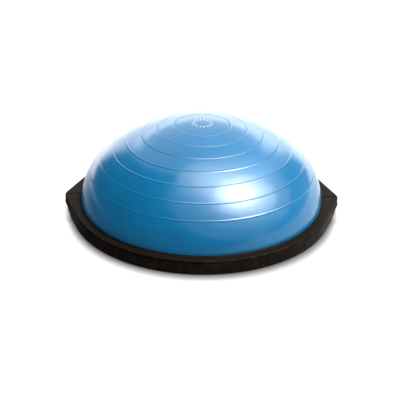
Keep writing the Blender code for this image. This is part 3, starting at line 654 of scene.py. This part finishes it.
# Half rings of the platform's top.
# Two moulded black plastic halves meet on the ears in a joint with steep edges, and grip the dome's neck
# with a low collar. Screws from below hold them on the pan. Their skin has a fine spark texture, which is
# rubbed a little along the edges.
RIM_RADIUS = 0.3171
EAR_TIP_RADIUS = 0.034
RING_BOTTOM = 0.0286
RING_LOWER_EDGE = 0.0004
RING_EDGE_TOP = 0.0332
RING_EDGE_ROUND = 0.0022
TOP_FACE_START = 0.08  # in parts of the way from the outer edge to the collar's foot
BEAD_CLEARANCE = 0.0003
COLLAR_RADIUS = 0.2976
COLLAR_ROUND = 0.0012
COLLAR_FOOT_REACH = 3 * COLLAR_ROUND
COLLAR_FOOT_RISE = 0.0006
JOINT_GAP = 0.0020
JOINT_DROP = 0.0018
JOINT_SETBACK = 0.0008
TIP_STEPS = 6
FLANK_STEPS = 14
ROUND_STEPS = 100
EDGE_STEPS = 5
CRISP_EDGE_DEGREES = 32
LOWER_EDGE_WEAR = 0.4
EDGE_WEAR = 1.0
EDGE_TOP_WEAR = 0.35
COLLAR_WEAR = 0.8
PLASTIC_BLACK = (0.0125, 0.0086, 0.0060)
PLASTIC_RUBBED = (0.048, 0.039, 0.032)
PLASTIC_RUBBED_SHARE = 0.6
PLASTIC_DUST = (0.050, 0.044, 0.038)
PLASTIC_DULLNESS = (0.44, 0.56)


def facing(turn):
    return Vector((math.cos(turn), math.sin(turn)))


def tip_centre():
    """The middle of the round tip of the ear at +X."""
    return Vector(((RIM_RADIUS - EAR_TIP_RADIUS) / math.cos(EAR_SLOPE), 0))


def outline_stations():
    """Points and outward normals of the outline's rear half, from the ear's tip at +X to the one at -X."""
    normals = [facing(EAR_SLOPE * step / TIP_STEPS) for step in range(TIP_STEPS + 1)]
    quarter = [(tip_centre() + EAR_TIP_RADIUS * normal, normal) for normal in normals]
    start, normal = quarter[-1]
    end = RIM_RADIUS * normal
    for step in range(1, FLANK_STEPS + 1):
        quarter.append((start.lerp(end, step / FLANK_STEPS), normal))
    stretch = []
    for step in range(1, ROUND_STEPS):
        normal = facing(EAR_SLOPE + (math.pi - 2 * EAR_SLOPE) * step / ROUND_STEPS)
        stretch.append((RIM_RADIUS * normal, normal))
    mirrored = [(Vector((-p.x, p.y)), Vector((-n.x, n.y))) for p, n in reversed(quarter)]
    return quarter + stretch + mirrored


def from_outline(station, outward, height):
    place = station[0] + outward * station[1]
    return Vector((place.x, place.y, height))


def from_axis(station, radius, height):
    place = radius * station[0].normalized()
    return Vector((place.x, place.y, height))


def quarter_round(radius, steps):
    """How far in and down each point of a rounded edge lies, from its side face up to its top face."""
    turns = [math.pi / 2 * step / steps for step in range(steps + 1)]
    return [(radius * (1 - math.cos(turn)), radius * (1 - math.sin(turn))) for turn in turns]


def ring_section(station, shrink):
    """A half ring's section as points with the share of wear there. Shrink draws it in, at its ends."""
    beside_bead = BEAD_RADIUS + BEAD_CLEARANCE + shrink
    bottom = RING_BOTTOM + shrink
    rows = [
        (from_axis(station, COLLAR_RADIUS + shrink, BEAD_TOP + shrink), 0.0),
        (from_axis(station, beside_bead, BEAD_TOP + shrink), 0.0),
        (from_axis(station, beside_bead, bottom), 0.0),
        (from_outline(station, -RING_LOWER_EDGE - shrink, bottom), 0.0),
        (from_outline(station, -shrink, RING_BOTTOM + RING_LOWER_EDGE + shrink), LOWER_EDGE_WEAR),
    ]
    for inward, down in quarter_round(RING_EDGE_ROUND, EDGE_STEPS):
        edge_point = from_outline(station, -inward - shrink, RING_EDGE_TOP - down - shrink)
        rows.append((edge_point, EDGE_WEAR if down else EDGE_TOP_WEAR))
    foot = from_axis(station, COLLAR_RADIUS + COLLAR_FOOT_REACH, RING_EDGE_TOP + COLLAR_FOOT_RISE)
    edge = from_outline(station, -RING_EDGE_ROUND, RING_EDGE_TOP)
    rows.append((edge.lerp(foot, TOP_FACE_START) - Vector((0, 0, shrink)), 0.0))
    rows.append((foot - Vector((0, 0, shrink)), 0.0))
    for inward, down in reversed(quarter_round(COLLAR_ROUND, EDGE_STEPS)):
        collar_point = from_axis(station, COLLAR_RADIUS + inward + shrink, COLLAR_TOP - down - shrink)
        rows.append((collar_point, COLLAR_WEAR if down == 0 else 0.0))
    return rows


def add_row(shape, section):
    """Adds a section's points to a shape and keeps the share of wear at each."""
    wear = shape.verts.layers.float["wear"]
    row = []
    for place, worn in section:
        vertex = shape.verts.new(place)
        vertex[wear] = worn
        row.append(vertex)
    return row


def half_ring(name, turn):
    """A half ring lofted from joint to joint. Its ends are drawn in a little, as the joint's edges."""
    shape = bmesh.new()
    shape.verts.layers.float.new("wear")
    stations = outline_stations()
    ends = [(stations[0], JOINT_DROP, 0.0), (stations[0], 0.0, JOINT_SETBACK)]
    middle = [(station, 0.0, 0.0) for station in stations[1:-1]]
    tail = [(stations[-1], 0.0, JOINT_SETBACK), (stations[-1], JOINT_DROP, 0.0)]
    rows = []
    for station, shrink, setback in ends + middle + tail:
        section = []
        for place, worn in ring_section(station, shrink):
            place.y = max(place.y, JOINT_GAP / 2 + setback)
            section.append((Matrix.Rotation(turn, 3, "Z") @ place, worn))
        rows.append(add_row(shape, section))
    for row, following in zip(rows, rows[1:]):
        bridge(shape, row, following)
    shape.faces.new(rows[0])
    shape.faces.new(rows[-1])
    bmesh.ops.remove_doubles(shape, verts=shape.verts, dist=MERGE_DISTANCE)
    return smooth_mesh(name, shape, CRISP_EDGE_DEGREES)


platform_plastic, tree = empty_material("platform_plastic")
place = object_place(tree)
worn = add_node(tree, "ShaderNodeAttribute", attribute_name="wear").outputs["Fac"]
patches = patches_of(tree, place, noise=(55.0, 5.0, 0.65), limits=(0.42, 0.70))
rubbed = math_of(tree, "MULTIPLY", worn, patches, PLASTIC_RUBBED_SHARE)
colour = mix_colour(tree, rubbed, PLASTIC_BLACK, PLASTIC_RUBBED)
dust = patches_of(tree, place, noise=(14.0, 6.0, 0.7), limits=(0.50, 0.85), levels=(0.0, 0.12))
colour = mix_colour(tree, dust, colour, PLASTIC_DUST)
relief = bump_of(tree, place, noise=(30.0, 2.0, 0.5), distance=0.0003, strength=0.3)
relief = bump_of(tree, place, noise=(1500.0, 3.0, 0.7), distance=0.00010, strength=0.6, normal=relief)
dullness = patches_of(tree, place, noise=(20.0, 5.0, 0.6), limits=(0.3, 0.75), levels=PLASTIC_DULLNESS)
finish_skin(tree, colour, dullness, relief, {"Specular IOR Level": 0.025})

for name, node, turn in (("rim_rear_ring", "rim_rear", 0.0), ("rim_front_ring", "rim_front", math.pi)):
    ring_mesh = half_ring(name, turn)
    ring_mesh.materials.append(platform_plastic)
    ring = new_piece(name, ring_mesh)
    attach(ring, "trainer")
    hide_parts(node)

# Pan of the platform.
# One black plastic moulding with a flared outer wall and a shadow groove under the half rings. It has grip
# grooves in its underside, recesses for the feet, sinks for the screws, and a finger pocket with a low arch
# under each ear.
FOOT_PROUD = 0.0020
DECK_TOP = 0.0060
DECK_EDGE = 0.2942
WALL_TOP = 0.0283
WALL_FLARE = 0.0029
WALL_THICKNESS = 0.0044
WALL_FOOT_ROUND = 0.0012
WALL_FOOT_STEPS = 4
WALL_TOP_SETBACK = 0.0006
GROOVE_DEPTH = 0.0016
GROOVE_HEIGHT = 0.0018
LIP = 0.0004
LIP_FLARE = 0.00007  # how far the flared wall stands out at the lip's foot
GRIP_GROOVES = (0.110, 0.220)
GRIP_GROOVE_WIDTH = 0.0050
GRIP_GROOVE_FLANK = 0.0006
GRIP_GROOVE_DEPTH = 0.0010
WALL_FOOT_WEAR = 0.8
LIP_WEAR = 0.5
GRIP_GROOVE_WEAR = 0.5
SCREW_COUNT = 12
SCREW_CIRCLE = 0.3098
SCREW_SINK = 0.0045
SCREW_SINK_TOP = 0.0051
SCREW_SINK_FACETS = 32
FOOT_COUNT = 8
FOOT_CIRCLE = 0.2820
FOOT_SINK = 0.0153
FOOT_SINK_TOP = 0.0048
FOOT_SINK_FACETS = 56
POCKET_HALF_WIDTH = 0.0680
POCKET_INNER_RADIUS = 0.3066
POCKET_CEILING = 0.0251
POCKET_SKIN = 0.0025
POCKET_SKIN_OUTWARD = 0.4  # of the skin's thickness, where it joins the wall
POCKET_SKIN_FOOT = 0.0040
POCKET_OUTWARD = -0.0042
POCKET_CORNER = 0.0032
POCKET_CORNER_STEPS = 6
POCKET_INNER_STEPS = 16
ARCH_HALF_WIDTH = 0.0660
ARCH_HEIGHT = 0.0140
ARCH_STEPS = 40
ARCH_REACH = (0.3091, 0.36)
CUTTER_BOTTOM = -0.01


def pan_section(station):
    """The pan's section from the middle of its underside out, up its wall and back over its deck."""
    rows = [(from_axis(station, 0.0, FOOT_PROUD), 0.0)]
    far_flank = GRIP_GROOVE_WIDTH - GRIP_GROOVE_FLANK
    for radius in GRIP_GROOVES:
        for across, up in ((0.0, 0.0), (GRIP_GROOVE_FLANK, 1.0), (far_flank, 1.0), (GRIP_GROOVE_WIDTH, 0.0)):
            groove_point = from_axis(station, radius + across, FOOT_PROUD + up * GRIP_GROOVE_DEPTH)
            rows.append((groove_point, GRIP_GROOVE_WEAR * (1 - up)))
    rows.append((from_axis(station, DECK_EDGE, FOOT_PROUD), 0.0))
    for inward, down in quarter_round(WALL_FOOT_ROUND, WALL_FOOT_STEPS)[::-1]:
        rows.append((from_outline(station, WALL_FLARE - inward, FOOT_PROUD + down), WALL_FOOT_WEAR))
    groove_bottom = WALL_TOP - GROOVE_HEIGHT
    groove_back = -WALL_TOP_SETBACK - GROOVE_DEPTH
    rows += [
        (from_outline(station, -WALL_TOP_SETBACK + LIP_FLARE, groove_bottom - LIP), LIP_WEAR),
        (from_outline(station, -WALL_TOP_SETBACK - LIP, groove_bottom), LIP_WEAR),
        (from_outline(station, groove_back, groove_bottom), 0.0),
        (from_outline(station, groove_back, WALL_TOP), 0.0),
        (from_outline(station, -WALL_TOP_SETBACK - WALL_THICKNESS, WALL_TOP), 0.0),
        (from_outline(station, WALL_FLARE - WALL_THICKNESS, DECK_TOP), 0.0),
        (from_axis(station, 0.0, DECK_TOP), 0.0),
    ]
    return rows


def pan_shape():
    rear = outline_stations()
    stations = rear + [(-point, -normal) for point, normal in rear[1:-1]]
    shape = bmesh.new()
    shape.verts.layers.float.new("wear")
    rows = [add_row(shape, pan_section(station)) for station in stations]
    for row, following in zip(rows, rows[1:] + rows[:1]):
        bridge(shape, row, following, closed=False)
    bmesh.ops.remove_doubles(shape, verts=shape.verts, dist=MERGE_DISTANCE)
    return shape


def block_between(shape, first_outline, second_outline):
    """Adds a block with its two end faces at outlines of points in space."""
    first = [shape.verts.new(point) for point in first_outline]
    second = [shape.verts.new(point) for point in second_outline]
    shape.faces.new(first)
    shape.faces.new(second)
    bridge(shape, first, second)


def upright_block(shape, outline, bottom, top):
    """Adds a block with an outline of (x, y) points."""
    block_between(shape, [(x, y, bottom) for x, y in outline], [(x, y, top) for x, y in outline])


def circle_points(count, radius, centre=(0, 0)):
    turns = [math.tau * (step + 0.5) / count for step in range(count)]
    return [Vector((centre[0] + radius * math.cos(t), centre[1] + radius * math.sin(t))) for t in turns]


def corner_arc(before, corner, after, radius):
    """Points that replace an outline's corner by an arc."""
    one, other = (before - corner).normalized(), (after - corner).normalized()
    half = one.angle(other) / 2
    centre = corner + (one + other).normalized() * radius / math.sin(half)
    start = corner + one * radius / math.tan(half) - centre
    end = corner + other * radius / math.tan(half) - centre
    shares = [step / POCKET_CORNER_STEPS for step in range(POCKET_CORNER_STEPS + 1)]
    return [centre + radius * start.lerp(end, share).normalized() for share in shares]


def pocket_outline(grown):
    """The finger pocket's outline under the ear at +X, along the dome's bead and the ear's flanks."""
    radius = POCKET_INNER_RADIUS - grown
    half_width = POCKET_HALF_WIDTH + grown
    offset = POCKET_OUTWARD + grown * POCKET_SKIN_OUTWARD
    half_turn = math.asin(half_width / radius)
    inside_turns = [half_turn * step / POCKET_INNER_STEPS for step in range(POCKET_INNER_STEPS - 1, -1, -1)]
    inside = [Vector((radius * math.cos(turn), radius * math.sin(turn))) for turn in inside_turns]
    tip_turns = [EAR_SLOPE * step / TIP_STEPS for step in range(TIP_STEPS + 1)]
    tip = [tip_centre() + (EAR_TIP_RADIUS + offset) * facing(turn) for turn in tip_turns]
    inner = Vector((radius * math.cos(half_turn), half_width))
    flank_x = (RIM_RADIUS + offset - half_width * math.sin(EAR_SLOPE)) / math.cos(EAR_SLOPE)
    outer = Vector((flank_x, half_width))
    outer_corner = corner_arc(tip[-1], outer, inner, POCKET_CORNER)
    inner_corner = corner_arc(outer, inner, inside[0], POCKET_CORNER)
    upper = tip + outer_corner + inner_corner + inside
    return [Vector((point.x, -point.y)) for point in reversed(upper[1:-1])] + upper


pan = new_piece("platform_pan", plain_mesh("pan", pan_shape()))
blocks = bmesh.new()
hollows = bmesh.new()
for side in (1, -1):
    skin_outline = [side * point for point in pocket_outline(POCKET_SKIN)]
    upright_block(blocks, skin_outline, POCKET_SKIN_FOOT, POCKET_CEILING + POCKET_SKIN)
    upright_block(hollows, [side * point for point in pocket_outline(0.0)], CUTTER_BOTTOM, POCKET_CEILING)
cut_or_join(pan, blocks, "UNION")
cut_or_join(pan, hollows, "DIFFERENCE")

arches = bmesh.new()
arch_turns = [math.pi * step / ARCH_STEPS for step in range(1, ARCH_STEPS)]
arch = [(ARCH_HALF_WIDTH, CUTTER_BOTTOM), (ARCH_HALF_WIDTH, 0.0)]
arch += [(ARCH_HALF_WIDTH * math.cos(turn), ARCH_HEIGHT * math.sin(turn)) for turn in arch_turns]
arch += [(-ARCH_HALF_WIDTH, 0.0), (-ARCH_HALF_WIDTH, CUTTER_BOTTOM)]
for side in (1, -1):
    block_between(arches, *[[(side * x, y, z) for y, z in arch] for x in ARCH_REACH])
cut_or_join(pan, arches, "DIFFERENCE")

sinks = bmesh.new()
for centre in circle_points(SCREW_COUNT, SCREW_CIRCLE):
    upright_block(sinks, circle_points(SCREW_SINK_FACETS, SCREW_SINK, centre), CUTTER_BOTTOM, SCREW_SINK_TOP)
for centre in circle_points(FOOT_COUNT, FOOT_CIRCLE):
    upright_block(sinks, circle_points(FOOT_SINK_FACETS, FOOT_SINK, centre), CUTTER_BOTTOM, FOOT_SINK_TOP)
cut_or_join(pan, sinks, "DIFFERENCE")
pan.data.name = "platform_pan"
pan.data.materials.clear()
pan.data.materials.append(platform_plastic)
pan.data.shade_smooth()
pan.data.set_sharp_from_angle(angle=math.radians(CRISP_EDGE_DEGREES))
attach(pan, "trainer")
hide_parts("platform_base")

# Grip studs of the underside.
# Low round studs moulded on the pan's flat underside, on which a user stands when the dome is down.
# They stand in rings inside, between and outside the two grip grooves, so that a sole finds a hold anywhere.
STUD_RADIUS = 0.0024
STUD_PROUD = 0.0005
STUD_ROOT = 0.0001
STUD_FLAT = 0.70  # of the radius
STUD_SHOULDER = (0.88, 0.7)  # of the radius and of the height
STUD_FACETS = 16
STUD_SPACING = 0.0125
STUD_CLEARANCE = 0.005  # round the feet
STUD_FIELDS = ((0.030, 7), (0.1275, 8), (0.2375, 2))  # each with its first radius and its count of rings
TURN_SEED = 7


def set_on_points(name, pattern_mesh, centres, turn_spread, material):
    """Sets a pattern on each centre, turned as the centre lies and then by chance within a spread."""
    pattern = new_piece("pattern", pattern_mesh)
    values = {"Pattern": pattern, "Turn spread": turn_spread, "Seed": TURN_SEED}
    tree, given = new_modifier_tree(name, values)
    pattern_info = add_node(tree, "GeometryNodeObjectInfo", {"Object": given["Pattern"]})
    spot = parts_of(tree, output(add_node(tree, "GeometryNodeInputPosition")))
    outward_turn = math_of(tree, "ARCTAN2", spot["Y"], spot["X"])
    chance = add_node(tree, "FunctionNodeRandomValue", {"Min": 0.0, "Max": 1.0, "Seed": given["Seed"]})
    extra_turn = math_of(tree, "MULTIPLY", output(chance), given["Turn spread"])
    turn = add_node(tree, "ShaderNodeCombineXYZ", {"Z": math_of(tree, "ADD", outward_turn, extra_turn)})
    copies = {
        "Points": given["Geometry"],
        "Instance": output(pattern_info, "Geometry"),
        "Rotation": output(turn),
    }
    copies = add_node(tree, "GeometryNodeInstanceOnPoints", copies)
    end_tree(tree, output(copies), material)
    places = bpy.data.meshes.new("places")
    places.from_pydata([(x, y, 0) for x, y in centres], [], [])
    piece = make_plain(new_piece("places", places), tree, values, name)
    bpy.data.objects.remove(pattern)
    return piece


stud_profile = [
    (0, FOOT_PROUD - STUD_PROUD),
    (STUD_RADIUS * STUD_FLAT, FOOT_PROUD - STUD_PROUD),
    (STUD_RADIUS * STUD_SHOULDER[0], FOOT_PROUD - STUD_PROUD * STUD_SHOULDER[1]),
    (STUD_RADIUS, FOOT_PROUD + STUD_ROOT),
]
stud_rings = [first + STUD_SPACING * step for first, count in STUD_FIELDS for step in range(count)]
centres = [c for radius in stud_rings for c in circle_points(round(math.tau * radius / STUD_SPACING), radius)]
feet = circle_points(FOOT_COUNT, FOOT_CIRCLE)
clear_of_feet = FOOT_SINK + STUD_CLEARANCE
centres = [centre for centre in centres if min((centre - foot).length for foot in feet) > clear_of_feet]
stud_mesh = smooth_mesh("stud", turned_shape(stud_profile, STUD_FACETS), SOFT_EDGE_DEGREES)
studs = set_on_points("pan_grip_studs", stud_mesh, centres, 0.0, platform_plastic)
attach(studs, "trainer")

# Screws.
# Zinc plated steel screws with a flat head and a cross recess, driven up through sinks in the pan into
# the half rings. Each one stops at its own turn.
SCREW_PROFILE = [
    (0, 0.0023),
    (0.0031, 0.0023),
    (0.0037, 0.0025),
    (0.0041, 0.0029),
    (0.0042, 0.0033),
    (0.0042, 0.0045),
    (0.0039, 0.0048),
    (0.0020, 0.0048),
    (0.0020, 0.0300),
    (0.0007, 0.0326),
    (0, 0.0326),
]
SCREW_FACETS = 40
CROSS_REACH = 0.0021
CROSS_HALF_WIDTH = 0.0005
CROSS_MOUTH = 0.0013  # height of the cutter's foot, below the head
CROSS_FLOOR = 0.0038
CROSS_TAPER = 0.55  # of the cross's size, at its floor
STEEL_BRIGHT = (0.60, 0.60, 0.61)
STEEL_TARNISHED = (0.40, 0.38, 0.34)
STEEL_DULLNESS = (0.26, 0.46)

screw_steel, tree = empty_material("screw_steel")
place = object_place(tree)
tarnish = patches_of(tree, place, noise=(420.0, 5.0, 0.7), limits=(0.40, 0.75), levels=(0.0, 0.6))
colour = mix_colour(tree, tarnish, STEEL_BRIGHT, STEEL_TARNISHED)
relief = bump_of(tree, place, noise=(2600.0, 2.0, 0.6), distance=0.00004, strength=0.5)
dullness = patches_of(tree, place, noise=(700.0, 4.0, 0.6), limits=(0.3, 0.75), levels=STEEL_DULLNESS)
finish_skin(tree, colour, dullness, relief, {"Metallic": 1.0})

screw_shape = turned_shape(SCREW_PROFILE, SCREW_FACETS)
screw_pattern = new_piece("screw_pattern", smooth_mesh("screw", screw_shape, CRISP_EDGE_DEGREES))
arm = [(CROSS_REACH, CROSS_HALF_WIDTH), (CROSS_HALF_WIDTH, CROSS_HALF_WIDTH), (CROSS_HALF_WIDTH, CROSS_REACH)]
outline = []
for quarter in range(4):
    outline += [Matrix.Rotation(quarter * math.pi / 2, 2) @ Vector(point) for point in arm]
cross = bmesh.new()
cross_mouth = [(x, y, CROSS_MOUTH) for x, y in outline]
block_between(cross, cross_mouth, [(x * CROSS_TAPER, y * CROSS_TAPER, CROSS_FLOOR) for x, y in outline])
cut_or_join(screw_pattern, cross, "DIFFERENCE")
screw_mesh = screw_pattern.data
bpy.data.objects.remove(screw_pattern)
screw_places = circle_points(SCREW_COUNT, SCREW_CIRCLE)
screws = set_on_points("rim_screws", screw_mesh, screw_places, math.pi / 2, screw_steel)
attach(screws, "trainer")
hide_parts(*[f"rim_screw_{number:02d}" for number in range(1, SCREW_COUNT + 1)])

# Feet.
# Black rubber pads pressed into recesses of the pan, which the trainer stands on.
# Each is moulded with rings and short cuts as a tread, and the crests of the tread are a little dusty.
FOOT_PROFILE = [
    (0, 0.0007),
    (0.0026, 0.0007),
    (0.0030, 0.0000),
    (0.0050, 0.0000),
    (0.0054, 0.0007),
    (0.0064, 0.0007),
    (0.0068, 0.0000),
    (0.0090, 0.0000),
    (0.0094, 0.0007),
    (0.0104, 0.0007),
    (0.0108, 0.0000),
    (0.0137, 0.0000),
    (0.0145, 0.0002),
    (0.0150, 0.0008),
    (0.0150, 0.0045),
    (0, 0.0045),
]
FOOT_FACETS = 96
FOOT_CUTS = 16
FOOT_CUT_DEPTH = 0.0006
FOOT_CUTS_FROM = 0.0060
FOOT_CREST_TOP = 0.0001
CREST_WEAR_TOP = 0.0003
RUBBER_BLACK = (0.015, 0.015, 0.015)
RUBBER_DUSTY = (0.085, 0.080, 0.073)
RUBBER_DULLNESS = (0.62, 0.80)

foot_rubber, tree = empty_material("foot_rubber")
place = object_place(tree)
crest = spread(tree, parts_of(tree, place)["Z"], 0.0, CREST_WEAR_TOP, 1.0, 0.0)
dust = patches_of(tree, place, noise=(130.0, 5.0, 0.65), limits=(0.35, 0.7), levels=(0.1, 0.8))
colour = mix_colour(tree, math_of(tree, "MULTIPLY", crest, dust), RUBBER_BLACK, RUBBER_DUSTY)
relief = bump_of(tree, place, noise=(1200.0, 3.0, 0.7), distance=0.00008, strength=0.6)
dullness = patches_of(tree, place, noise=(80.0, 4.0, 0.6), limits=(0.3, 0.75), levels=RUBBER_DULLNESS)
finish_skin(tree, colour, dullness, relief, {"Specular IOR Level": 0.3})

shape = turned_shape(FOOT_PROFILE, FOOT_FACETS)
for vertex in shape.verts:
    step = round(math.atan2(vertex.co.y, vertex.co.x) / math.tau * FOOT_FACETS)
    outer_tread = vertex.co.z < FOOT_CREST_TOP and vertex.co.xy.length > FOOT_CUTS_FROM
    if outer_tread and step % (FOOT_FACETS // FOOT_CUTS) == 0:
        vertex.co.z += FOOT_CUT_DEPTH
foot_mesh = smooth_mesh("foot", shape, CRISP_EDGE_DEGREES)
foot_pads = set_on_points("foot_pads", foot_mesh, feet, 0.0, foot_rubber)
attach(foot_pads, "trainer")
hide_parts(*[f"foot_{number:02d}" for number in range(1, FOOT_COUNT + 1)])
